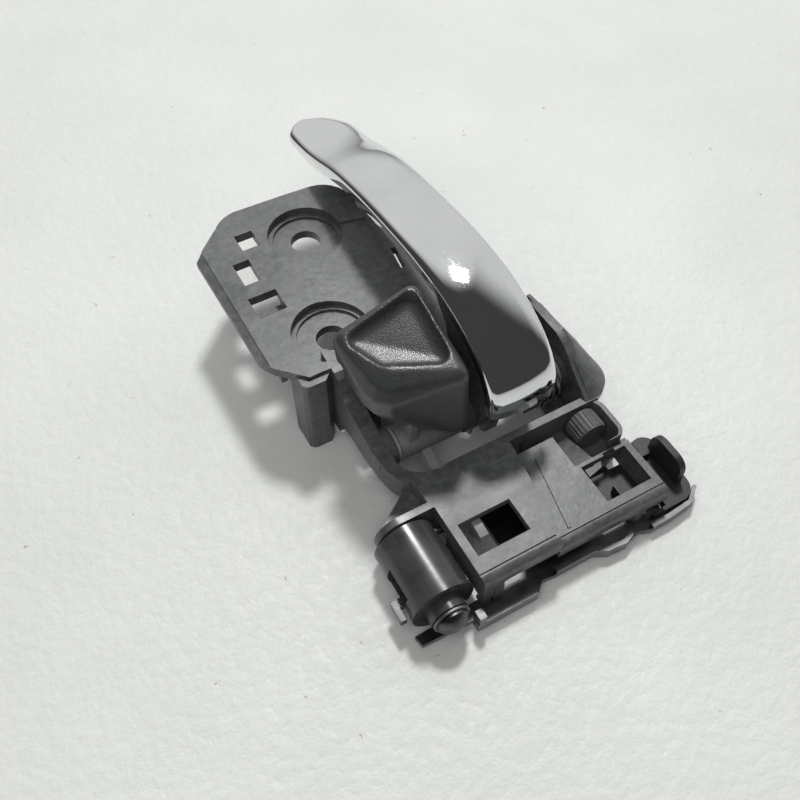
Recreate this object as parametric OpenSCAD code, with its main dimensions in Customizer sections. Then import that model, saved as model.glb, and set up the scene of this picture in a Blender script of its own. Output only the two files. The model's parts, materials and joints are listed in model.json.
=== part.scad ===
// Inside door handle: a chrome pull lever and a black lock knob on one pivot pin, in a
// moulded housing with a screw plate at one end and a cable block at the other.
// X runs along the pivot pin, Y along the lever towards the screw plate, Z out of the door.
// Heights inside the modules count from the lowest face; on_seat() moves the part so that
// the origin is the first screw hole, on the face that the screw head clamps.

/* [Screw plate] */
// Height of the screw seats above the lowest face
seat_h = 24; // [23:0.5:26]
// Thickness of the plate
plate_t = 2.6; // [2:0.1:2.8]
// Diameter of the two screw holes
screw_d = 8; // [5:0.5:9]
// Diameter of the dish around each screw hole
dish_d = 20; // [16:0.5:20.5]
// Sideways place of the second screw hole
hole_2_x = -9; // [-10:0.5:-7]
// Lengthwise place of the second screw hole
hole_2_y = -33.5; // [-34:0.5:-30]

/* [Pivot] */
// Lengthwise place of the pivot pin
pivot_y = -62; // [-63:0.5:-61]
// Height of the pivot pin above the lowest face
pivot_z = 13; // [12.5:0.1:13.2]
// Diameter of the pivot pin
pin_d = 5; // [4:0.1:5]
// Radial play of a turning piece on its pin
play = 0.05; // [0.02:0.01:0.08]

/* [Lever] */
// Width of the chrome lever
lever_w = 18; // [16:0.5:18.5]
// Sideways place of the lever's centre line
lever_x = 20; // [19.8:0.1:20.5]
// Thickness of the chrome skin
skin_t = 2.2; // [1.6:0.1:2.4]
// Depth of the lever's side flanges
flange_d = 4.2; // [3.8:0.1:5]

/* [Lock knob] */
// Left side of the knob
knob_x0 = -14.3; // [-14.5:0.1:-13.5]
// Right side of the knob
knob_x1 = 8.6; // [7.5:0.1:9]
// Rounding at the bottom of the thumb dish
dish_edge_r = 2.6; // [1.5:0.1:3]

/* [Cable block] */
// Height of the block's left roof
roof_z = 14; // [13.5:0.1:14.5]
// Drop from the left roof to the right roof
roof_step = 3; // [2:0.1:3.2]
// Front end of the block
block_y = -104.5; // [-106:0.5:-104]
// Wall thickness
wall = 2; // [1.6:0.1:2.2]

/* [Crank barrel] */
// Sideways place of the barrel's axis
barrel_x = -17; // [-17.3:0.1:-17]
// Height of the barrel's axis
barrel_z = 8; // [8:0.1:8.3]
// Radius of the barrel
barrel_r = 7.6; // [7:0.1:7.7]

/* [Hidden] */
$fn = 48;
touch = 0.01;
plate_top = seat_h + 3;
pin_r = pin_d / 2;
bore_r = pin_r + play;
lever_x0 = lever_x - lever_w / 2;
lever_x1 = lever_x + lever_w / 2;
hub_r = 5;
crank_r = 8.5;
knob_hub_x1 = 9.6;
knob_arm_x = -2;
arm_in = -10.4;
arm_out = -14.4;
wall_in = 40;
wall_out = 42.4;
rim_y = -73.6;
roof_low = roof_z - roof_step;
bracket_z0 = 0.8;
bracket_t = 1.5;
bracket_z1 = bracket_z0 + bracket_t;
rod_y = -85.5;
trough_r = 110;
rod_r = 1;

black = [0.13, 0.13, 0.14];
gloss_black = [0.08, 0.08, 0.085];
chrome = [0.82, 0.83, 0.85];
zinc = [0.66, 0.67, 0.66];
steel = [0.58, 0.59, 0.6];
rubber = [0.1, 0.1, 0.1];

// outer surface of the lever along its length, root end first
lever_top = [[-76.1, 25.6], [-76.4, 28.6], [-76, 31.8], [-74.8, 34.8], [-72.4, 38], [-68.6, 41.3],
  [-63.6, 44.1], [-57.6, 46.3], [-51, 47.6], [-43, 48.1], [-34, 47.9], [-20, 46.5], [-10, 45.1],
  [-2, 43.5], [4, 41.8], [9, 40], [14, 38.2], [20, 36.4], [26, 35.1], [31, 34.4], [33.6, 34.1],
  [34.9, 34]];

// ---------- helpers ----------

module on_seat() translate([0, 0, -seat_h]) children();

module block(x, y, z) translate([x[0], y[0], z[0]]) cube([x[1] - x[0], y[1] - y[0], z[1] - z[0]]);

// outline in Y and Z, pushed out along X
module slab_x(x0, x1, pts) translate([x0, 0, 0]) rotate([90, 0, 90])
  linear_extrude(x1 - x0) polygon(pts);

// outline in X and Z, pushed out along Y
module slab_y(y0, y1, pts) translate([0, y1, 0]) rotate([90, 0, 0])
  linear_extrude(y1 - y0) polygon(pts);

// outline in X and Y, pushed out along Z
module slab_z(z0, z1, pts) translate([0, 0, z0]) linear_extrude(z1 - z0) polygon(pts);

module rod_x(x0, x1, y, z, r) translate([x0, y, z]) rotate([0, 90, 0]) cylinder(r = r, h = x1 - x0);

module rod_y(y0, y1, x, z, r) translate([x, y1, z]) rotate([90, 0, 0]) cylinder(r = r, h = y1 - y0);

module rod_z(z0, z1, x, y, r) translate([x, y, z0]) cylinder(r = r, h = z1 - z0);

function arc(c, r, a0, a1, n = 6) =
  [for (i = [0:n]) let (a = a0 + (a1 - a0) * i / n) [c[0] + r * cos(a), c[1] + r * sin(a)]];

function reversed(pts) = [for (i = [len(pts) - 1:-1:0]) pts[i]];

// point of a smooth curve through a list of points, between point i and the next
function on_curve(pts, i, t) = let (
    a = pts[max(i - 1, 0)], b = pts[i], c = pts[i + 1], d = pts[min(i + 2, len(pts) - 1)])
  0.5 * (2 * b + (c - a) * t + (2 * a - 5 * b + 4 * c - d) * t * t
    + (3 * b - a - 3 * c + d) * t * t * t);

function smooth(pts, steps) = concat(
  [for (i = [0:len(pts) - 2]) for (j = [0:steps - 1]) on_curve(pts, i, j / steps)],
  [pts[len(pts) - 1]]);

// closed skin through a list of rings that all have the same number of points
module loft(rings) {
  sides = len(rings[0]);
  last = len(rings) - 1;
  points = [for (ring = rings) for (p = ring) p];
  skin = [for (i = [0:last - 1]) for (j = [0:sides - 1]) let (k = (j + 1) % sides)
    [i * sides + j, i * sides + k, (i + 1) * sides + k, (i + 1) * sides + j]];
  ends = [[for (j = [sides - 1:-1:0]) j], [for (j = [0:sides - 1]) last * sides + j]];
  polyhedron(points = points, faces = concat(skin, ends), convexity = 6);
}

// ---------- housing ----------

plate_outline = concat([[-29.1, 4.7], [-20.7, 12.7]], arc([-12.5, 7.3], 9.6, 145, 95),
  [[2, 16.4]], arc([8.6, 7.2], 8.8, 85, 5), [[16.8, -7], [15.2, -24.4], [14, -44], [-20, -44]],
  arc([-19.4, -31.5], 9.2, 225, 180, 4));

module plate_windows() {
  block([-17, -12], [2, 8], [plate_top - 4, plate_top + 1]);
  block([-21.5, -17], [-9.7, -1.5], [plate_top - 4, plate_top + 1]);
  block([-22.8, -15.2], [-21.5, -14.3], [plate_top - 4, plate_top + 1]);
}

module screw_spots() {
  children();
  translate([hole_2_x, hole_2_y, 0]) children();
}

// the plate with its two dished screw seats
module dished_plate() difference() {
  union() {
    slab_z(plate_top - plate_t, plate_top, plate_outline);
    intersection() {
      screw_spots() rod_z(seat_h - 2.4, plate_top - 1, 0, 0, dish_d / 2 + 1.5);
      slab_z(seat_h - 3, plate_top, plate_outline);
    }
    block([-25, -23.4], [-38, 2], [plate_top - 6, plate_top - 1]);
    block([-14, 6], [12.6, 14.2], [plate_top - 6, plate_top - 1]);
    block([12.6, 14.2], [-30, 6], [plate_top - 6, plate_top - 1]);
    block([-23.4, 12.6], [-18, -16.4], [plate_top - 5, plate_top - 1]);
  }
  screw_spots() {
    rod_z(seat_h + 0.8, plate_top + 1, 0, 0, dish_d / 2);
    rod_z(seat_h, plate_top, 0, 0, dish_d / 2 - 1.2);
    rod_z(seat_h - 4, seat_h + 1, 0, 0, screw_d / 2);
  }
  plate_windows();
  // shallow trough between the dishes and a step down along the left edge
  translate([5, -17, plate_top + trough_r - 0.7]) rotate([90, 0, -15])
    cylinder(r = trough_r, h = 34, center = true, $fn = 180);
  translate([-29.8, -46, plate_top - 1.1]) rotate([0, -14, 0]) cube([3.2, 56, 3]);
}

// ledge between the plate and the lever, with three narrow slits
module side_ledge() difference() {
  union() {
    slab_z(17.5, 20, [[14, 10], [16, 13], [23, 17], [29, 15], [31, 4], [35, -14], [38.5, -30],
      [wall_out, -45], [14, -45]]);
    block([14, 15.6], [-44, 9], [17.5, plate_top - 1]);
    block([27, 28.6], [-44, 12], [14, 18]);
  }
  slab_z(17, 21, [[19.8, 13], [21.4, 13.4], [21.8, 9], [20.4, 8.6]]);
  slab_z(17, 21, [[21.2, 3.6], [22.6, 3.2], [23.4, -1.8], [22.4, -2]]);
  slab_z(17, 21, [[20.6, -9.8], [21.9, -10.2], [20.8, -18], [19.6, -17.6]]);
}

// hollow leg under the plate, with its front right corner cut across
module leg() difference() {
  slab_z(0, plate_top - 1, [[-22.5, -37.5], [-22.5, -44.7], [-21.8, -45.7], [-20.8, -46], [-16.8, -46],
    [-12.2, -41.6], [-12.2, -37.5]]);
  slab_z(-1, plate_top, [[-20.7, -36.5], [-20.7, -44.2], [-17.5, -44.2], [-14, -40.8], [-14, -36.5]]);
  block([-15, -11], [-47, -36], [-1, 5]);
}

// side arm from the plate down to the block: a flange on top of a thin wall that turns
// inward at its lower end and runs into the block's roof
arm_top = [[-43, 27], [-45.8, 27], [-47.4, 26], [-48.4, 23.6], [-49, 21.6], [-50.4, 20.6],
  [-57, 19.2], [-61, 17.6], [-65, 16.2], [-69, 14.8], [-72, roof_z], [-82, roof_z]];
arm_outer = [[arm_out, -43], [arm_out, -60], [-13.9, -66], [-12.9, -69.8], [-11.5, -72.4],
  [-9.4, -74.6], [-8.8, -77], [-8.8, -80.8]];
arm_inner = [[arm_in, -43], [arm_in, -65.5], [-9.8, -68.8], [-8.4, -71.2], [-5.5, -73.1],
  [-2, -73.8], [-2, -80.8]];

module left_arm() {
  intersection() {
    slab_x(-15, -1, concat(arm_top, reversed([for (p = arm_top) [p[0], p[1] - 2.2]])));
    slab_z(0, 30, concat(arm_outer, reversed(arm_inner)));
  }
  intersection() {
    slab_x(-15, -6, concat([for (p = arm_top) [p[0], p[1] - 1]],
      [[-82, 6], [-72, 6.4], [-64, 8.4], [-52, 8.8], [-48.5, 7.5], [-46.6, 4.6], [-46, 2.6], [-43, 2.6]]));
    slab_z(0, 30, concat(arm_outer, reversed([for (p = arm_outer) [p[0] + 1.8, p[1] + 0.3]])));
  }
  rod_x(arm_out + 0.6, arm_in + 2, pivot_y, pivot_z, 5);
}

lobe_y = -67.5;

// wall at the right of the well, with a lobe that slopes outward from its top edge
module right_wall() {
  slab_x(wall_in, wall_out, [[-44, 20], [-46, 23], [-50, 24.6], [-60, 25], [-64, 23.4], [-67.5, 20],
    [-72, 16.4], [-75.4, roof_z], [-75.4, 2.5], [-44, 2.5]]);
  rod_x(wall_in - 1.2, wall_out, pivot_y, pivot_z, 5.5);
  hull() {
    slab_y(-46, -45, [[wall_out - 1, 23.6], [wall_out, 23.6], [48.6, 14], [48.6, 12], [wall_out - 1, 12]]);
    slab_y(-60, -59, [[wall_out - 1, 25], [wall_out, 25], [49.8, 14], [49.8, 12], [wall_out - 1, 12]]);
  }
  hull() {
    slab_y(-60, -59, [[wall_out - 1, 25], [wall_out, 25], [49.8, 14], [49.8, 12], [wall_out - 1, 12]]);
    translate([wall_out - 0.6, lobe_y, 12]) intersection() {
      cylinder(r1 = 8, r2 = 8, h = 2, $fn = 64);
      block([-0.4, 10], [-10, 10], [0, 5]);
    }
    translate([wall_out - 0.6, lobe_y, 19.6]) cylinder(r = 0.6, h = 0.5);
  }
}

// floor and back of the well that the cranks hang in
module well() {
  block([arm_out + 1, wall_out - 1], [-45.6, -43.6], [3, 18.5]);
  block([-12.6, 15], [-45.6, -43.6], [18, plate_top - 1]);
  difference() {
    block([-12.6, wall_in + 0.5], [-74.4, -44.5], [2.6, 4.4]);
    block([-5.6, 35], [-71.9, -51], [2, 5]);
    block([-13.5, 13], [-76, -56], [2, 5]);
  }
}

// roof panel with a bull-nosed front lip behind a fine groove
module lip(x0, x1, top) difference() {
  slab_x(x0, x1, concat([[block_y + 3.2, top - wall], [block_y + 3.2, top]],
    arc([block_y + 2, top - 2], 2, 90, 180, 6), [[block_y, top - 4.2], [block_y + 1.8, top - 4.2]]));
  slab_x(x0 - 1, x1 + 1, [[block_y + 2.2, top + 1], [block_y + 2.2, top - 0.4], [block_y + 2.6, top - 0.4],
    [block_y + 2.6, top + 1]]);
}

module roof_left() {
  slab_z(roof_z - wall, roof_z, [[-3, rim_y - 0.6], [1.4, rim_y], [17, rim_y], [17, -76.4],
    [12.5, block_y + 3], [-8, block_y + 3], [-8, -80.7], [-3, -80.7]]);
  lip(-8, 12.8, roof_z);
  block([-8, -6.2], [block_y + 1, -80], [roof_z - 9, roof_z - 1]);
  // curved skirt at the front left corner
  slab_y(block_y, block_y + 1.8, concat([[-8, roof_z - 2.5], [-8, 2.4], [-6, 2.4]],
    arc([1.5, 3.2], 7.4, 180, 90, 6), [[3, roof_z - 2.5]]));
}

module roof_right() {
  slab_z(roof_low - wall, roof_low, [[17, -78.4], [28, -78.4], [28, -88], [44, -88], [44, block_y + 3],
    [12.5, block_y + 3]]);
  lip(12.5, 44, roof_low);
  // step between the two roofs and the low rib beside it
  slab_z(roof_low - 4, roof_z, [[16.2, rim_y - 1], [17, rim_y - 1], [17, -77], [13.4, block_y + 1.6],
    [12.2, block_y + 1.6]]);
  slab_z(roof_low - 1, roof_low + 0.35, [[20.9, -81.6], [21.7, -81.6], [17.8, -101], [17, -101]]);
  block([42.2, 44], [block_y + 1, -87], [3, roof_low - 0.5]);
  // sloping ramp beside the open well of the rubber stop
  slab_x(28, 33.5, [[-75, 6], [-87, 10.2], [-89, 11], [-89, 8.4], [-75, 4]]);
  slab_x(26.2, 28.2, [[-78.4, 11], [-88.5, 11], [-88.5, 4], [-78.4, 4]]);
}

// thin rounded wall and floor around the rubber stop
module stop_wall() difference() {
  slab_z(2.5, roof_z - 0.6, concat([[33, -74.4], [43.7, -74.4]], arc([41.3, -78], 2.6, 40, 0, 4),
    arc([39.9, -84], 4, 0, -60, 5), [[33, -89.4]]));
  slab_z(4.2, roof_z + 1, concat([[32, -75.5], [41.9, -75.5]], arc([40.3, -78], 2.4, 40, 0, 4),
    arc([39.9, -84.4], 2.8, 0, -60, 5), [[32, -87.6]]));
  block([wall_in - 8, 44.2], [-91, -87.1], [4.2, roof_z + 2]);
  block([37.4, 41.2], [-81, -77.7], [2, 5]);
}

// band along the back of the block
module rim() {
  block([1, 43.9], [rim_y - wall, rim_y], [roof_z - 3.5, roof_z]);
  block([15, 16.8], [rim_y - wall, rim_y], [4, roof_z]);
  block([22.4, 43.9], [rim_y - wall, rim_y], [4, roof_z]);
}

// ear that carries the crank pin, and the gusset behind its root
module ear() {
  slab_y(-82.4, -80.6, concat([[-7, roof_z], [barrel_x, roof_z]],
    arc([barrel_x, barrel_z], roof_z - barrel_z, 90, 270, 12), [[-7, 2]]));
  slab_z(8, 9.6, [[-9.2, -72.6], [-11.1, -72.8], [-13.1, -74.5], [-20.4, -79.4], [-20.8, -80.8],
    [-7, -80.8], [-7, -75]]);
}

module block_posts() {
  rod_z(bracket_z1, roof_z - 1, 9.4, -80, 3);
  rod_z(bracket_z1, roof_low - 1, 25, -98, 3);
  rod_z(bracket_z1, roof_low - 1, 37, -102, 2.4);
  block([-5, -2.6], [block_y - 0.2, block_y + 1.6], [3, 9]);
}

module base_housing() on_seat() color(black) difference() {
  union() {
    dished_plate();
    side_ledge();
    leg();
    left_arm();
    right_wall();
    well();
    roof_left();
    roof_right();
    stop_wall();
    rim();
    ear();
    block_posts();
  }
  // pin bore, blind in the left arm and open in the right wall
  rod_x(arm_out + 1.4, arm_in + 3, pivot_y, pivot_z, 3.5);
  rod_x(wall_in - 2, wall_out + 1, pivot_y, pivot_z, 3.5);
  rod_x(wall_out, wall_out + 9, pivot_y, pivot_z, 4.2);
  rod_y(-83.4, -79, barrel_x, barrel_z, pin_r);
  // windows in the two roofs
  block([-5.8, 8.2], [-98, -89], [roof_z - 3, roof_z + 1]);
  block([29.2, 42.2], [-99.7, -89], [roof_low - 3, roof_low + 1]);
  block([36, 39.4], [-89.2, -88.2], [roof_low - 3, roof_low + 1]);
  // gap in the left wall for the crank rod
  block([-9, -5], [-88.2, -84.2], [1, 9.6]);
  // holes for the rivet shanks
  rivet_spots() rod_z(0, 7, 0, 0, 1.4);
}

module rivet_spots() {
  translate([9.4, -80, 0]) children();
  translate([25, -98, 0]) children();
}

// ---------- fixed metal and cover ----------

module steel_bracket() on_seat() color(zinc) difference() {
  union() {
    slab_z(bracket_z0, bracket_z1, [[-7.6, -108.6], [4.8, -108.6], [7.6, -106], [11.6, -106.4],
      [22, -106.4], [25, -108], [30, -108.4], [33.2, -107.2], [35.6, -107], [38, -108], [44, -108],
      [51, -107.2], [54.9, -104], [50.6, -103.6], [46, -104], [40, -97], [38, -76], [4, -76],
      [4, -99], [-7.6, -101.5]]);
    // tongue under the barrel's collar
    slab_z(bracket_z0, bracket_z1, [[-24.5, -106], [-25, -103.4], [-7, -102.6], [-7, -106.6]]);
    // upright flanges along the front
    slab_x(-11.6, 4.6, [[-108.8, bracket_z0], [-108.8, 4], [-107.4, 4], [-107.4, bracket_z0]]);
    block([-11.6, -7], [-108.8, -105], [bracket_z0, bracket_z1]);
    slab_x(-11.4, -9.6, [[-108.8, bracket_z0], [-108.8, 7], [-106.4, 7], [-106.4, bracket_z0]]);
    slab_z(bracket_z0, 4, [[11.4, -106.4], [22, -106.4], [25, -108], [30, -108.4], [33, -107.2],
      [33, -106], [30, -107.2], [25.3, -106.8], [22.3, -105.2], [11.4, -105.2]]);
    slab_z(bracket_z0, 3.6, [[38.4, -108], [44, -108], [51, -107.2], [54.9, -104], [54.1, -103.4],
      [50.6, -106.2], [44, -106.8], [38.4, -106.8]]);
  }
  rivet_spots() rod_z(0, 4, 0, 0, 1.4);
  // opening under the lever cable, and one under the stop
  block([15, 22], [-96, -78], [0, 4]);
  block([36.6, 42], [-82, -77], [0, 4]);
}

module bracket_rivets() on_seat() color(steel) rivet_spots() {
  rod_z(0, bracket_z0 - touch, 0, 0, 3);
  rod_z(0, 6.6, 0, 0, 1.4 - touch);
}

module cable_cover() on_seat() color(gloss_black) {
  slab_z(bracket_z1 + touch, 4.2, concat([[44.4, -90.2], [48.2, -90.2], [48.2, -86.2]],
    arc([49.6, -90], 4.2, 80, 10, 5), arc([49, -101.4], 4.6, 0, -80, 6), [[40, -106], [40, -104.9],
    [44.4, -104.9]]));
  // floor under the right window, with two low ribs
  slab_z(bracket_z1 + touch, 3.8, [[29.2, -99.4], [42, -99.4], [42, -89.8], [29.2, -89.8]]);
  block([42, 44.5], [-99, -91.5], [bracket_z1 + touch, 2.9]);
  block([34.8, 35.6], [-99.4, -95.4], [3.8, 7.4]);
  block([30.6, 31.4], [-99.4, -96], [3.8, 7.4]);
  // tall rounded ear
  slab_x(50, 51.8, concat([[-90, 3]], arc([-93.4, 8.8], 3.4, 0, 90, 5),
    arc([-98, 8.8], 3.4, 90, 180, 5), [[-101.4, 3]]));
  slab_x(44.4, 50.4, [[-90.4, 3], [-90.4, 6], [-91.8, 6], [-91.8, 3]]);
}

// ---------- pivot ----------

module pivot_pin() on_seat() color(steel) {
  rod_x(arm_out + 1.5, wall_out + 1.6, pivot_y, pivot_z, pin_r);
}

module pivot_clip() on_seat() color(steel) difference() {
  rod_x(wall_out + 0.1, wall_out + 1, pivot_y, pivot_z, 3.9);
  rod_x(wall_out, wall_out + 2, pivot_y, pivot_z, pin_r);
}

module bush(x0, x1, flange_x0, flange_x1) difference() {
  union() {
    rod_x(x0, x1, pivot_y, pivot_z, 3.5 - touch);
    rod_x(flange_x0, flange_x1, pivot_y, pivot_z, 4.6);
  }
  rod_x(x0 - 2, x1 + 2, pivot_y, pivot_z, pin_r);
}

module pivot_bushes() on_seat() color([0.85, 0.84, 0.8]) {
  bush(arm_out + 1.5, arm_in + 2.2, arm_in + 2.2, arm_in + 3);
  bush(wall_in - 1.2, wall_out - 0.2, wall_in - 2, wall_in - 1.2);
}

// ---------- springs and stops ----------

coil_r = 7;
wire_r = 0.7;
coil_turns = 4;
coil_x0 = 30.4;
coil_pitch = 1.7;

// round wire swept along points, each ring given by its centre and radial direction
module wire_coil(turns, steps, sides, r_wire, r_coil, pitch) {
  count = turns * steps;
  rings = [for (i = [0:count]) let (a = 360 * i / steps)
    [for (j = [0:sides - 1]) let (b = 360 * j / sides, r = r_coil + r_wire * cos(b))
      [pitch * i / steps + r_wire * sin(b), r * cos(a), r * sin(a)]]];
  points = [for (ring = rings) for (p = ring) p];
  sides_faces = [for (i = [0:count - 1]) for (j = [0:sides - 1]) let (k = (j + 1) % sides)
    [i * sides + j, i * sides + k, (i + 1) * sides + k, (i + 1) * sides + j]];
  caps = [[for (j = [sides - 1:-1:0]) j], [for (j = [0:sides - 1]) count * sides + j]];
  polyhedron(points = points, faces = concat(sides_faces, caps), convexity = 6);
}

module lever_return_spring() on_seat() color(steel) {
  translate([coil_x0, pivot_y, pivot_z]) wire_coil(coil_turns, 20, 8, wire_r, coil_r, coil_pitch);
  // straight leg that rests on the back of the well
  translate([coil_x0, pivot_y + coil_r, pivot_z - 7.4]) cylinder(r = wire_r, h = 7.4);
}

module lock_detent_spring() on_seat() color(steel) {
  slab_x(-7.4, -0.4, [[-49, 4.4 + touch], [-49, 5.2], [-55.4, 5.2], [-56.2, 6.4], [-56.2, 16], [-57, 17.4],
    [-56.4, 17.8], [-55.4, 16.2], [-55.4, 6.6], [-54.9, 6], [-48.4, 6], [-48.4, 4.4 + touch]]);
}

rubber_r = 4;
rubber_z = 9.2;
rubber_x = 38;

// cap with fine ribs around it, closed at the front
module rubber_stop() on_seat() color(rubber) difference() {
  union() {
    rod_y(-82.2, -76.4, rubber_x, rubber_z, rubber_r);
    for (i = [0:23]) translate([rubber_x, -76.6, rubber_z]) rotate([90, 15 * i, 0])
      translate([rubber_r, 0, 0]) cylinder(r = 0.25, h = 5.2, $fn = 8);
  }
  rod_y(-80.6, -76, rubber_x, rubber_z, 1.5);
}

module stop_post() on_seat() color(steel) {
  rod_y(-80.4, rim_y - wall - touch, rubber_x, rubber_z, 1.5 - touch);
}

module crank_pin() on_seat() color(steel) {
  rod_y(-106.4, -80.8, barrel_x, barrel_z, pin_r - touch);
  translate([barrel_x, -106, barrel_z]) rotate([90, 0, 0]) intersection() {
    cylinder(r = 4, h = 3);
    translate([0, 0, -2.2]) sphere(r = 4.9);
  }
}

module crank_washer() on_seat() color(zinc) difference() {
  rod_y(-105.9, -105.3, barrel_x, barrel_z, 4.6);
  rod_y(-107, -104, barrel_x, barrel_z, pin_r);
}

// ---------- lever ----------

side_t = 1.6;
crown = 1.1;
edge_r = 1.2;
lever_line = smooth(lever_top, 3);
lever_last = len(lever_line) - 1;

// direction out of the lever's surface, in Y and Z
function lever_out(i) = let (a = lever_line[max(i - 1, 0)], b = lever_line[min(i + 1, lever_last)],
    d = (b - a) / norm(b - a)) [-d[1], d[0]];

// sides of the lever at a place along it: the tip is rounded, more so at the right
function lever_left(y) = y < 31.2 ? lever_x0
  : lever_x0 + 3.2 - sqrt(max(3.8 * 3.8 - (y - 31.2) * (y - 31.2), 0)) + 0.6;
function lever_right(y) = y < 24.6 ? lever_x1
  : y < 34 ? lever_x1 - 10.6 + sqrt(10.6 * 10.6 - (y - 24.6) * (y - 24.6)) : lever_x1 - 5.6 - (y - 34) * 4;

// cross-section in X and depth: a crowned top with rounded edges and two side flanges
function lever_section(x0, x1, flange, roof) = let (half = (x1 - x0) / 2, mid = (x0 + x1) / 2)
  concat([[x0, flange]],
    [for (a = [0:30:60]) [x0 + edge_r * (1 - cos(a)), crown + edge_r * (1 - sin(a))]],
    [for (u = [-0.8:0.2:0.81]) [mid + u * half, crown * u * u]],
    [for (a = [60:-30:0]) [x1 - edge_r * (1 - cos(a)), crown + edge_r * (1 - sin(a))]],
    [[x1, flange], [x1 - side_t, flange], [x1 - side_t, roof], [x0 + side_t, roof],
      [x0 + side_t, flange]]);

function lever_ring(i) = let (p = lever_line[i], out = lever_out(i), y = p[0],
    flange = min(flange_d, flange_d - (y - 22) * 0.1),
    roof = y > 31 ? flange - 0.3 : skin_t)
  [for (q = lever_section(lever_left(y), lever_right(y), flange, roof))
    [q[0], p[0] - q[1] * out[0], p[1] - q[1] * out[1]]];

screw_ys = [-66, -56];

module lever_shell() on_seat() color(chrome) loft([for (i = [0:lever_last]) lever_ring(i)]);

// strip between two depths under the lever's surface
function under_lever(d0, d1, y0, y1) = let (
    keep = [for (i = [0:lever_last]) if (lever_line[i][0] >= y0 && lever_line[i][0] <= y1) i])
  concat([for (i = keep) lever_line[i] - d0 * lever_out(i)],
    reversed([for (i = keep) lever_line[i] - d1 * lever_out(i)]));

module lever_backing() on_seat() color([0.3, 0.3, 0.31]) difference() {
  slab_x(lever_x0 + side_t + 0.1, lever_x1 - side_t - 0.1,
    under_lever(skin_t + 0.05, skin_t + 1.9, -74.9, 24));
  for (y = screw_ys) rod_z(28, 50, lever_x, y, 1.5);
  for (y = [-46:14:-4]) block([lever_x - 4, lever_x + 4], [y, y + 9], [30, 50]);
}

// tube on the pin, two cheeks up to the lever and the crank that pulls the cable
module lever_hub() on_seat() color(black) difference() {
  union() {
    rod_x(10.2, 37.6, pivot_y, pivot_z, hub_r);
    for (x = [13.4, 24.2]) slab_x(x, x + 2.4, [[-66.5, 12], [-70, 23], [-70.6, 29.6], [-67.6, 35.2],
      [-60, 39.8], [-50, 42.4], [-44, 42.8], [-44, 40], [-50, 34], [-55, 22], [-57.4, 12]]);
    slab_x(18, 21.4, concat([[-66.6, 13]], arc([pivot_y, pivot_z - crank_r], 3, 180, 360, 8), [[-57.4, 13]]));
    block([25.6, 30], [-69.6, -66], [12, 15]);
  }
  rod_x(9, 40, pivot_y, pivot_z, bore_r);
  rod_x(17, 23, pivot_y, pivot_z - crank_r, 1.2);
}

module lever_screws() on_seat() color(steel) for (y = screw_ys) {
  rod_z(31, 39, lever_x, y, 1.4);
  rod_z(29.6, 31, lever_x, y, 2.8);
}

module lever_cable_pin() on_seat() color(steel) {
  rod_x(14.6, 24.4, pivot_y, pivot_z - crank_r, 1.2 - touch);
  rod_x(14, 14.6, pivot_y, pivot_z - crank_r, 2);
}

module lever_stop_pad() on_seat() color(rubber) {
  block([26.8, 29.6], [-69.6, -66.8], [15 + touch, 16.4]);
}

// ---------- lock knob ----------

module knob_ball(x, y, z, r) translate([x, y, z]) sphere(r = r, $fn = 12);

// rounded block, wide at the top and drawn in towards the hub
module knob_block() hull() {
  knob_ball(knob_x0 + 3, -46.6, 37.7, 3);
  knob_ball(knob_x1 - 2.4, -46, 43.4, 2.4);
  knob_ball(knob_x1 - 3, -67.6, 38.4, 3);
  knob_ball(knob_x0 + 8, -59.5, 33, 8);
  knob_ball(knob_x0 + 3, -48, 32.5, 3);
  knob_ball(-3.4, -61.5, 25.6, 5.4);
  knob_ball(knob_x1 - 3.6, -69, 24, 3.6);
  knob_ball(knob_x1 - 2, -49.5, 22.4, 2);
  knob_ball(-7.5, -50.5, 22.6, 2);
}

// the thumb dish: a sunk panel, deepest along its right side
module knob_dish() hull() for (lift = [0, 12]) {
  knob_ball(4.2, -48.6, 45 + lift, dish_edge_r);
  knob_ball(3.6, -62.6, 42 + lift, dish_edge_r);
  knob_ball(-6.8, -57, 41.6 + lift, dish_edge_r);
  knob_ball(-9.6, -49.6, 41.4 + lift, dish_edge_r);
}

module lock_knob_cap() on_seat() color(black) difference() {
  knob_block();
  knob_dish();
  // hollow inside
  slab_x(-6.2, 6.8, [[-48.8, 10], [-48.8, 33.4], [-64.6, 33.8], [-66.8, 31.6], [-66.6, 22], [-64, 10]]);
  // notch in the left side
  block([knob_x0 - 1, knob_x0 + 3], [-50.4, -47.2], [28, 33.4]);
}

module lock_knob_arm() on_seat() color(gloss_black) difference() {
  union() {
    rod_x(arm_in + 3.2, knob_hub_x1, pivot_y, pivot_z, 4.6);
    for (x = [-5, 3.6]) slab_x(x, x + 2.2, [[-65.4, 14], [-66, 22], [-66.2, 30.6], [-64.4, 33],
      [-52, 32.4], [-50, 30], [-56, 22], [-58.4, 14]]);
    // arm that runs under the rim to the crank rod
    slab_x(knob_arm_x, knob_arm_x + 2.4, [[-58, 9.6], [-62, 6.6], [-83.6, 6.4], [-83.6, 9.7],
      [-88.8, 9.7], [-88.8, 6.4], [-90.4, 6.4], [-91, 8], [-93.6, 9.2], [-93.2, 11], [-90, 11.6],
      [-83, 11.5], [-77, 9.9], [-70, 9.9], [-66, 12]]);
  }
  rod_x(-9, 11, pivot_y, pivot_z, bore_r);
}

module knob_clip_pin() on_seat() color(steel) {
  rod_x(-2.4, 3.2, -60, 28, 1.4);
}

// ---------- crank barrel ----------

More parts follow.
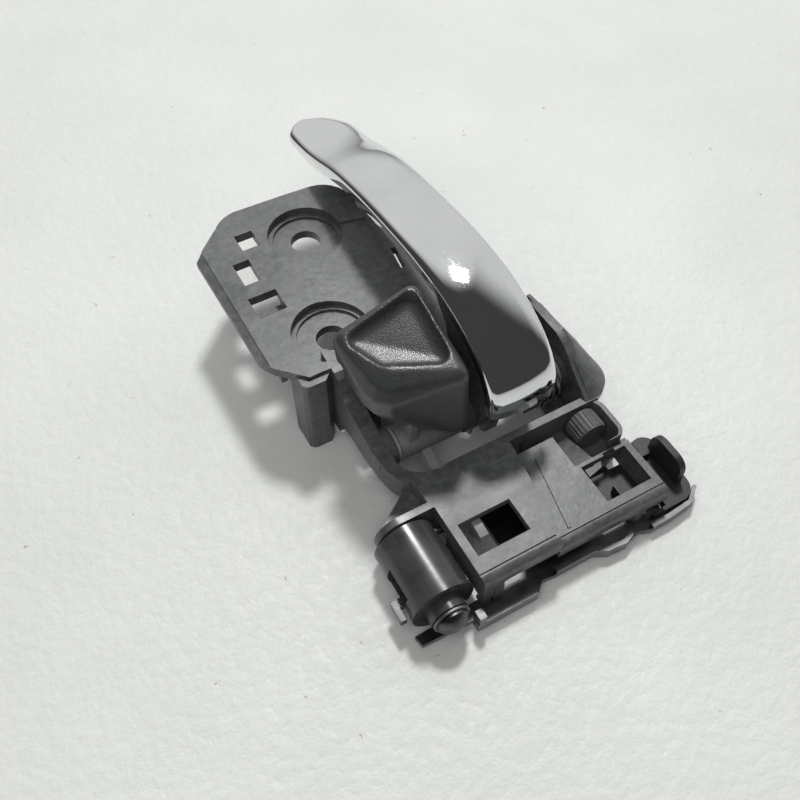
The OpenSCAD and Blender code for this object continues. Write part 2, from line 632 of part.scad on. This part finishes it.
module crank_barrel() on_seat() color(gloss_black) difference() {
  union() {
    rod_y(-101, -83.8, barrel_x, barrel_z, barrel_r);
    rod_y(-102, -100.8, barrel_x, barrel_z, barrel_r + 0.3);
    rod_y(-105, -101.9, barrel_x, barrel_z, 4.7);
  }
  rod_y(-106, -83, barrel_x, barrel_z, bore_r);
  rod_y(-98.6, -88, barrel_x, barrel_z, 5.6);
  // side slot
  block([barrel_x - 9, barrel_x - 3], [-98.2, -90], [barrel_z - 3.5, barrel_z + 3]);
  // socket for the rod
  rod_x(barrel_x + 3.2, barrel_x + 9, rod_y, barrel_z, rod_r);
}

module crank_rod() on_seat() color(steel) {
  rod_x(barrel_x + 3.2, knob_arm_x + 3.6, rod_y, barrel_z, rod_r - touch);
}

module crank_side_arm() on_seat() color(steel) {
  block([barrel_x - 10, barrel_x - 5.7], [-97.4, -95.2], [barrel_z - 3.2, barrel_z - 1.2]);
  block([barrel_x - 10, barrel_x - 8.4], [-100.6, -95.2], [barrel_z - 3.2, barrel_z - 1.2]);
}

module crank_spring() on_seat() color(steel)
  translate([barrel_x, -88.6, barrel_z]) rotate([0, 0, -90]) wire_coil(4, 18, 8, 0.55, 4.2, 1.9);

base_housing();
steel_bracket();
bracket_rivets();
cable_cover();
pivot_pin();
pivot_clip();
pivot_bushes();
lever_return_spring();
lock_detent_spring();
rubber_stop();
stop_post();
crank_pin();
crank_washer();
lever_shell();
lever_backing();
lever_hub();
lever_screws();
lever_cable_pin();
lever_stop_pad();
lock_knob_cap();
lock_knob_arm();
knob_clip_pin();
crank_barrel();
crank_rod();
crank_side_arm();
crank_spring();
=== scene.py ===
"""Inside car door handle: chrome pull lever and black lock knob in a moulded housing."""
import json
import math

import bpy
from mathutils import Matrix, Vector

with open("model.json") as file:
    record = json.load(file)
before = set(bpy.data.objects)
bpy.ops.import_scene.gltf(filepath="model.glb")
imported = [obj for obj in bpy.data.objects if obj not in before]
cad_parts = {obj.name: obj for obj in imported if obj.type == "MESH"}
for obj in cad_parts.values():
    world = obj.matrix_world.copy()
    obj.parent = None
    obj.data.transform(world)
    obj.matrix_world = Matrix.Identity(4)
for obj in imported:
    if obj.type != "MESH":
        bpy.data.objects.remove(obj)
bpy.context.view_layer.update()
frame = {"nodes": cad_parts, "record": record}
MM = 0.001
SEAT_H = 24 * MM         # height of the screw seat, the frame's origin, above the floor

# ---------- materials ----------

# A Mix node has one set of sockets for each type: these are factor, A and B of a colour mix.
MIX_SOCKETS = (0, 6, 7)
MIX_RESULT = 2


class Shader:
    """Builds one node material with a Principled shader. Textures take object coordinates."""

    def __init__(self, name):
        self.mat = bpy.data.materials.new(name)
        self.mat.use_nodes = True
        self.tree = self.mat.node_tree
        self.tree.nodes.clear()
        self.out = self.tree.nodes.new("ShaderNodeOutputMaterial")
        self.bsdf = self.tree.nodes.new("ShaderNodeBsdfPrincipled")
        self.tree.links.new(self.bsdf.outputs[0], self.out.inputs[0])
        self.coord = self.tree.nodes.new("ShaderNodeTexCoord")

    def set(self, **values):
        """Sets constants on the shader's own sockets, such as Metallic=1.0."""
        for key, value in values.items():
            self.bsdf.inputs[key.replace("_", " ")].default_value = value

    def mapping(self, scale=(1, 1, 1), rotation=(0, 0, 0)):
        node = self.tree.nodes.new("ShaderNodeMapping")
        node.inputs["Scale"].default_value = scale
        node.inputs["Rotation"].default_value = rotation
        self.tree.links.new(self.coord.outputs["Object"], node.inputs["Vector"])
        return node.outputs["Vector"]

    def noise(self, scale, detail=3.0, rough=0.55, vector=None, distortion=0.0):
        node = self.tree.nodes.new("ShaderNodeTexNoise")
        node.inputs["Scale"].default_value = scale
        node.inputs["Detail"].default_value = detail
        node.inputs["Roughness"].default_value = rough
        node.inputs["Distortion"].default_value = distortion
        self.tree.links.new(vector or self.coord.outputs["Object"], node.inputs["Vector"])
        return node.outputs["Fac"]

    def voronoi(self, scale):
        """Distance to the nearest of many scattered points: grain or spangle."""
        node = self.tree.nodes.new("ShaderNodeTexVoronoi")
        node.inputs["Scale"].default_value = scale
        self.tree.links.new(self.coord.outputs["Object"], node.inputs["Vector"])
        return node.outputs["Distance"]

    def ramp(self, fac, *stops):
        """A colour that runs through (place, colour) stops as fac goes from 0 to 1."""
        node = self.tree.nodes.new("ShaderNodeValToRGB")
        elements = node.color_ramp.elements
        while len(elements) < len(stops):
            elements.new(0.5)
        for element, (place, colour) in zip(elements, stops):
            element.position = place
            element.color = (*colour, 1.0)
        self.tree.links.new(fac, node.inputs["Fac"])
        return node.outputs["Color"]

    def grey(self, fac, low, high, start=0.3, end=0.7):
        """A value that runs from low to high as fac runs from start to end."""
        node = self.tree.nodes.new("ShaderNodeMapRange")
        node.inputs["From Min"].default_value = start
        node.inputs["From Max"].default_value = end
        node.inputs["To Min"].default_value = low
        node.inputs["To Max"].default_value = high
        self.tree.links.new(fac, node.inputs["Value"])
        return node.outputs["Result"]

    def mix(self, fac, base, colour):
        """The base, covered by a plain colour where fac is 1."""
        node = self.tree.nodes.new("ShaderNodeMix")
        node.data_type = "RGBA"
        fac_socket, base_socket, colour_socket = (node.inputs[i] for i in MIX_SOCKETS)
        self.tree.links.new(fac, fac_socket)
        self.tree.links.new(base, base_socket)
        colour_socket.default_value = (*colour, 1.0)
        return node.outputs[MIX_RESULT]

    def add(self, a, b):
        node = self.tree.nodes.new("ShaderNodeMath")
        node.operation = "ADD"
        self.tree.links.new(a, node.inputs[0])
        self.tree.links.new(b, node.inputs[1])
        return node.outputs[0]

    def colour(self, value):
        self.tree.links.new(value, self.bsdf.inputs["Base Color"])

    def rough(self, value):
        self.tree.links.new(value, self.bsdf.inputs["Roughness"])

    def bump(self, height, distance, strength, normal=None):
        """Raises the surface by height, up to distance in metres, over an earlier bump."""
        node = self.tree.nodes.new("ShaderNodeBump")
        node.inputs["Distance"].default_value = distance
        node.inputs["Strength"].default_value = strength
        self.tree.links.new(height, node.inputs["Height"])
        if normal is not None:
            self.tree.links.new(normal, node.inputs["Normal"])
        self.tree.links.new(node.outputs["Normal"], self.bsdf.inputs["Normal"])
        return node.outputs["Normal"]


def clouded(name, cloud, low, high, rough, grain, depth, metallic=0.0):
    """A finish that drifts between two colours over a fine grain.

    cloud and grain are the scale, detail and roughness of a noise, rough is the range of the
    surface's roughness, and depth is the grain's height in metres and its strength.
    """
    s = Shader(name)
    drift = s.noise(*cloud)
    s.colour(s.ramp(drift, (0.3, low), (0.7, high)))
    s.rough(s.grey(drift, *rough))
    s.set(Metallic=metallic)
    s.bump(s.noise(*grain), *depth)
    return s.mat


def housing_plastic():
    """Satin black moulding, worn grey and a little mottled."""
    s = Shader("housing_plastic")
    cloud = s.noise(55, 5, 0.62)
    speck = s.noise(1100, 2, 0.5)
    mottle = s.noise(520, 4, 0.7)
    drift = s.noise(190, 4, 0.6, s.mapping((1, 3.5, 1), (0, 0, 0.3)), 0.5)
    base = s.ramp(cloud, (0.3, (0.056, 0.059, 0.061)), (0.5, (0.08, 0.084, 0.085)),
                  (0.72, (0.115, 0.119, 0.119)))
    worn = s.mix(s.grey(drift, 0.0, 0.4, 0.5, 0.75), base, (0.19, 0.195, 0.194))
    s.colour(s.mix(s.grey(mottle, 0.0, 0.5, 0.4, 0.7), worn, (0.2, 0.205, 0.203)))
    s.rough(s.grey(cloud, 0.3, 0.5))
    s.set(Specular_IOR_Level=0.6)
    fine = s.bump(speck, 0.00006, 0.45)
    s.bump(s.noise(240, 3, 0.5), 0.00012, 0.35, fine)
    return s.mat


def knob_plastic():
    """Fine grained black with a polish on it."""
    s = Shader("knob_plastic")
    grain = s.voronoi(3400)
    cloud = s.noise(90, 3, 0.5)
    base = s.ramp(cloud, (0.3, (0.015, 0.016, 0.0165)), (0.7, (0.026, 0.027, 0.028)))
    s.colour(s.mix(s.grey(grain, 0.0, 0.6, 0.25, 0.6), base, (0.065, 0.068, 0.069)))
    s.rough(s.grey(cloud, 0.3, 0.4))
    s.set(Specular_IOR_Level=1.0)
    s.bump(grain, 0.00008, 0.5)
    return s.mat


def gloss_plastic():
    """Glossy black with long scuffs."""
    s = Shader("gloss_black_plastic")
    cloud = s.noise(130, 4, 0.6)
    scuff = s.noise(420, 4, 0.6, s.mapping((1, 0.12, 1)), 0.4)
    base = s.ramp(cloud, (0.3, (0.03, 0.031, 0.032)), (0.75, (0.065, 0.067, 0.068)))
    s.colour(s.mix(s.grey(scuff, 0.0, 0.35, 0.5, 0.75), base, (0.1, 0.1, 0.102)))
    s.rough(s.grey(cloud, 0.2, 0.34))
    s.set(Specular_IOR_Level=0.65)
    s.bump(s.noise(500, 3, 0.5), 0.00005, 0.3)
    return s.mat


def chrome():
    """Bright plating with hairline scratches and a few dull patches."""
    s = Shader("lever_chrome")
    cloud = s.noise(45, 3, 0.5)
    scratch = s.noise(300, 4, 0.65, s.mapping((16, 1, 1), (0, 0, 0.5)), 0.4)
    patch = s.noise(520, 3, 0.6, s.mapping((1, 1, 9), (0.4, 0, -0.7)), 0.8)
    base = s.ramp(cloud, (0.3, (0.74, 0.75, 0.755)), (0.7, (0.86, 0.865, 0.87)))
    s.colour(s.mix(s.grey(patch, 0.0, 0.5, 0.62, 0.8), base, (0.55, 0.52, 0.49)))
    s.rough(s.add(s.grey(scratch, 0.03, 0.12, 0.5, 0.8), s.grey(patch, 0.0, 0.12, 0.6, 0.8)))
    s.set(Metallic=1.0)
    s.bump(scratch, 0.00002, 0.12)
    return s.mat


def zinc():
    """Dull zinc plate with a faint spangle and rolling streaks."""
    s = Shader("zinc_plate")
    streak = s.noise(120, 4, 0.6, s.mapping((1, 9, 1)), 0.3)
    spangle = s.voronoi(260)
    base = s.ramp(streak, (0.3, (0.15, 0.154, 0.152)), (0.7, (0.27, 0.274, 0.27)))
    s.colour(s.mix(s.grey(spangle, 0.0, 0.4, 0.1, 0.6), base, (0.36, 0.365, 0.36)))
    s.rough(s.grey(streak, 0.42, 0.6))
    s.set(Metallic=1.0)
    s.bump(streak, 0.00004, 0.4)
    return s.mat


def drawn_steel():
    """Plain steel with streaks across the wire or pin."""
    s = Shader("drawn_steel")
    streak = s.noise(300, 4, 0.6, s.mapping((8, 1, 1)))
    s.colour(s.ramp(streak, (0.3, (0.36, 0.36, 0.37)), (0.7, (0.55, 0.55, 0.56))))
    s.rough(s.grey(streak, 0.22, 0.4))
    s.set(Metallic=1.0)
    s.bump(streak, 0.00003, 0.4)
    return s.mat


MATERIALS = {
    "housing_black": housing_plastic(),
    "knob_black": knob_plastic(),
    "gloss_black": gloss_plastic(),
    "lever_chrome": chrome(),
    "backing_grey": clouded("backing_plastic", (120, 4, 0.6), (0.03, 0.03, 0.031),
                            (0.05, 0.05, 0.053), (0.4, 0.55), (700, 2, 0.5), (0.00005, 0.4)),
    "zinc_steel": zinc(),
    "plain_steel": drawn_steel(),
    "bush_plastic": clouded("natural_acetal", (200, 3, 0.5), (0.3, 0.285, 0.25),
                            (0.4, 0.385, 0.35), (0.35, 0.5), (200, 3, 0.5), (0.00004, 0.3)),
    "stop_rubber": clouded("stop_rubber", (220, 4, 0.6), (0.06, 0.06, 0.06),
                           (0.13, 0.13, 0.128), (0.42, 0.6), (900, 3, 0.6), (0.00008, 0.6)),
}

SLOTS = {row["node"]: row["material_slot"] for row in frame["record"]["subparts"]}

# Nodes whose finish differs from the other nodes of their slot.
SPECIAL = {
    "cable_cover": clouded("cover_plastic", (70, 4, 0.6), (0.012, 0.012, 0.013),
                           (0.028, 0.029, 0.03), (0.36, 0.52), (600, 3, 0.55), (0.00007, 0.4)),
    "lock_knob_arm": clouded("arm_grey_plastic", (150, 4, 0.6), (0.2, 0.205, 0.205),
                             (0.3, 0.305, 0.305), (0.35, 0.5), (700, 3, 0.5), (0.00005, 0.3)),
    "crank_pin": clouded("blackened_steel", (260, 4, 0.6), (0.07, 0.07, 0.072),
                         (0.16, 0.16, 0.165), (0.26, 0.42), (800, 3, 0.5), (0.00004, 0.4), 1.0),
    "crank_side_arm": MATERIALS["gloss_black"],
}

# ---------- shading and edges of the CAD nodes ----------

# Width of the small radius on each moulded or stamped node's edges.
EDGE_RADIUS = {
    "base_housing": 0.28 * MM, "cable_cover": 0.22 * MM, "steel_bracket": 0.18 * MM,
    "lock_knob_arm": 0.15 * MM, "lever_hub": 0.18 * MM, "lever_backing": 0.15 * MM,
    "crank_barrel": 0.2 * MM, "crank_side_arm": 0.12 * MM, "stop_post": 0.1 * MM,
    "crank_washer": 0.06 * MM, "lever_stop_pad": 0.12 * MM,
}
WELD_GAP = 0.002 * MM
SHARP = math.radians(32)      # an edge that bends more than this stays an edge
FLAT = math.radians(0.6)      # facets that bend less than this become one face
KNOB = "lock_knob_cap"
KNOB_VOXEL = 0.28 * MM
KNOB_SMOOTHING = 45


def smoothing_group():
    """A node group that shades a mesh smooth, apart from its sharp edges."""
    group = bpy.data.node_groups.new("shade_smooth_by_angle", "GeometryNodeTree")
    for way in ("INPUT", "OUTPUT"):
        group.interface.new_socket("Geometry", in_out=way, socket_type="NodeSocketGeometry")
    start = group.nodes.new("NodeGroupInput")
    end = group.nodes.new("NodeGroupOutput")
    drop = group.nodes.new("GeometryNodeRemoveAttribute")
    drop.inputs["Name"].default_value = "custom_normal"
    faces = group.nodes.new("GeometryNodeSetShadeSmooth")
    edges = group.nodes.new("GeometryNodeSetShadeSmooth")
    edges.domain = "EDGE"
    edges.inputs["Shade Smooth"].default_value = False
    angle = group.nodes.new("GeometryNodeInputMeshEdgeAngle")
    sharp = group.nodes.new("FunctionNodeCompare")
    sharp.operation = "GREATER_THAN"
    sharp.inputs[1].default_value = SHARP
    group.links.new(start.outputs[0], drop.inputs["Geometry"])
    group.links.new(drop.outputs["Geometry"], faces.inputs["Geometry"])
    group.links.new(faces.outputs["Geometry"], edges.inputs["Geometry"])
    group.links.new(angle.outputs["Unsigned Angle"], sharp.inputs[0])
    group.links.new(sharp.outputs["Result"], edges.inputs["Selection"])
    group.links.new(edges.outputs["Geometry"], end.inputs[0])
    return group


SMOOTHING = smoothing_group()


def shade(obj):
    """Shades obj smooth between its sharp edges."""
    smooth = obj.modifiers.new("shade_smooth", "NODES")
    smooth.node_group = SMOOTHING


def join_edges(obj):
    """Joins the edges that the loaded mesh has split."""
    weld = obj.modifiers.new("weld", "WELD")
    weld.merge_threshold = WELD_GAP


def round_edges(obj, width):
    """Merges flat facets and rounds the sharp edges."""
    flat = obj.modifiers.new("flat_faces", "DECIMATE")
    flat.decimate_type = "DISSOLVE"
    flat.angle_limit = FLAT
    bevel = obj.modifiers.new("edge_radius", "BEVEL")
    bevel.width = width
    bevel.segments = 2
    bevel.limit_method = "ANGLE"
    bevel.angle_limit = SHARP
    bevel.use_clamp_overlap = True
    shade(obj)
    normals = obj.modifiers.new("normals", "WEIGHTED_NORMAL")
    normals.keep_sharp = True


def soften_knob(obj):
    """Turns the knob's facets into one soft moulded skin."""
    skin = obj.modifiers.new("skin", "REMESH")
    skin.mode = "VOXEL"
    skin.voxel_size = KNOB_VOXEL
    skin.use_smooth_shade = True
    smooth = obj.modifiers.new("soften", "SMOOTH")
    smooth.factor = 0.5
    smooth.iterations = KNOB_SMOOTHING


def dress_cad_nodes():
    """Gives each CAD node its material, and rounds its edges a little. No mesh is changed."""
    for name, obj in frame["nodes"].items():
        obj.data.materials.clear()
        obj.data.materials.append(SPECIAL.get(name) or MATERIALS[SLOTS[name]])
        join_edges(obj)
        if name == KNOB:
            soften_knob(obj)
        elif name in EDGE_RADIUS:
            round_edges(obj, EDGE_RADIUS[name])
        else:
            shade(obj)


dress_cad_nodes()

# ---------- floor, light and camera ----------


FLOOR_HALF = 3.0
LIGHT_AIM = (0, -0.04, 0)
KEY_SIZE, KEY_POWER = 0.16, 7.5
FILL_SIZE, FILL_POWER = 1.2, 7

# Bright parts of the studio: the direction each lies in, and the cosines of the angles from
# that direction at which it fades out and is full.
BACK_WALL = ((0.26, 0.80, 0.54), 0.74, 0.93)
RIGHT_WALL = ((0.86, 0.38, 0.34), 0.62, 0.92)
WORLD_DARK = 0.05
WORLD_BRIGHT = 0.7
WORLD_TINT = (0.96, 0.975, 0.965, 1)

CAMERA_AZIMUTH = math.radians(-29.3)
CAMERA_ELEVATION = math.radians(54.2)
CAMERA_TARGET = Vector((-3.56, -58.36, 0.0)) * MM
CAMERA_DISTANCE = 219.72 * MM
CAMERA_LENS = 41.85
CAMERA_SENSOR = 36


def floor_material():
    """Pale rough plaster with a few dark specks."""
    s = Shader("pale_floor")
    cloud = s.noise(14, 4, 0.6)
    plaster = s.noise(330, 3, 0.55)
    fine = s.noise(1300, 2, 0.5)
    specks = s.noise(150, 6, 0.75)
    base = s.ramp(cloud, (0.3, (0.72, 0.735, 0.71)), (0.7, (0.79, 0.805, 0.78)))
    s.colour(s.mix(s.grey(specks, 0.0, 0.8, 0.665, 0.7), base, (0.2, 0.2, 0.19)))
    s.rough(s.grey(plaster, 0.4, 0.62))
    first = s.bump(plaster, 0.0011, 0.35)
    s.bump(fine, 0.0002, 0.3, first)
    return s.mat


def make_floor():
    mesh = bpy.data.meshes.new("floor")
    signs = ((-1, -1), (1, -1), (1, 1), (-1, 1))
    mesh.from_pydata([(x * FLOOR_HALF, y * FLOOR_HALF, 0) for x, y in signs], [], [(0, 1, 2, 3)])
    mesh.materials.append(floor_material())
    floor = bpy.data.objects.new("floor", mesh)
    floor.location = (0, 0, -SEAT_H)
    bpy.context.scene.collection.objects.link(floor)


def area_light(name, place, size, power):
    """A square softbox that points at the middle of the handle."""
    data = bpy.data.lights.new(name, "AREA")
    data.shape = "SQUARE"
    data.size = size
    data.energy = power
    light = bpy.data.objects.new(name, data)
    light.location = place
    aim = Vector(LIGHT_AIM) - Vector(place)
    light.rotation_euler = aim.to_track_quat("-Z", "Y").to_euler()
    bpy.context.scene.collection.objects.link(light)
    return light


def bright_part(tree, direction, axis, edge, full):
    """World brightness round one axis: WORLD_BRIGHT at its middle, WORLD_DARK away from it."""
    dot = tree.nodes.new("ShaderNodeVectorMath")
    dot.operation = "DOT_PRODUCT"
    dot.inputs[1].default_value = axis
    tree.links.new(direction, dot.inputs[0])
    part = tree.nodes.new("ShaderNodeMapRange")
    part.interpolation_type = "SMOOTHSTEP"
    part.inputs["From Min"].default_value = edge
    part.inputs["From Max"].default_value = full
    part.inputs["To Min"].default_value = WORLD_DARK
    part.inputs["To Max"].default_value = WORLD_BRIGHT
    tree.links.new(dot.outputs["Value"], part.inputs["Value"])
    return part.outputs["Result"]


def make_world():
    """A studio with a bright wall behind and one at the right, darker overhead and in front."""
    world = bpy.data.worlds.new("studio")
    world.use_nodes = True
    tree = world.node_tree
    direction = tree.nodes.new("ShaderNodeTexCoord").outputs["Generated"]
    brighter = tree.nodes.new("ShaderNodeMath")
    brighter.operation = "MAXIMUM"
    for wall, socket in zip((BACK_WALL, RIGHT_WALL), brighter.inputs):
        tree.links.new(bright_part(tree, direction, *wall), socket)
    background = tree.nodes["Background"]
    background.inputs["Color"].default_value = WORLD_TINT
    tree.links.new(brighter.outputs[0], background.inputs["Strength"])
    bpy.context.scene.world = world


def make_lights():
    area_light("key_softbox", (0.32, 0.42, 1.0), KEY_SIZE, KEY_POWER)
    fill = area_light("fill_softbox", (-0.5, -0.4, 1.1), FILL_SIZE, FILL_POWER)
    fill.visible_glossy = False
    make_world()


def make_camera():
    flat = math.cos(CAMERA_ELEVATION)
    back = Vector((math.sin(CAMERA_AZIMUTH) * flat, -math.cos(CAMERA_AZIMUTH) * flat,
                   math.sin(CAMERA_ELEVATION)))
    data = bpy.data.cameras.new("camera")
    data.sensor_width = CAMERA_SENSOR
    data.lens = CAMERA_LENS
    data.clip_start = 0.01
    camera = bpy.data.objects.new("camera", data)
    camera.location = CAMERA_TARGET + back * CAMERA_DISTANCE
    camera.rotation_euler = (-back).to_track_quat("-Z", "Y").to_euler()
    bpy.context.scene.collection.objects.link(camera)
    bpy.context.scene.camera = camera


make_floor()
make_lights()
make_camera()
bpy.context.scene.view_settings.view_transform = "Standard"
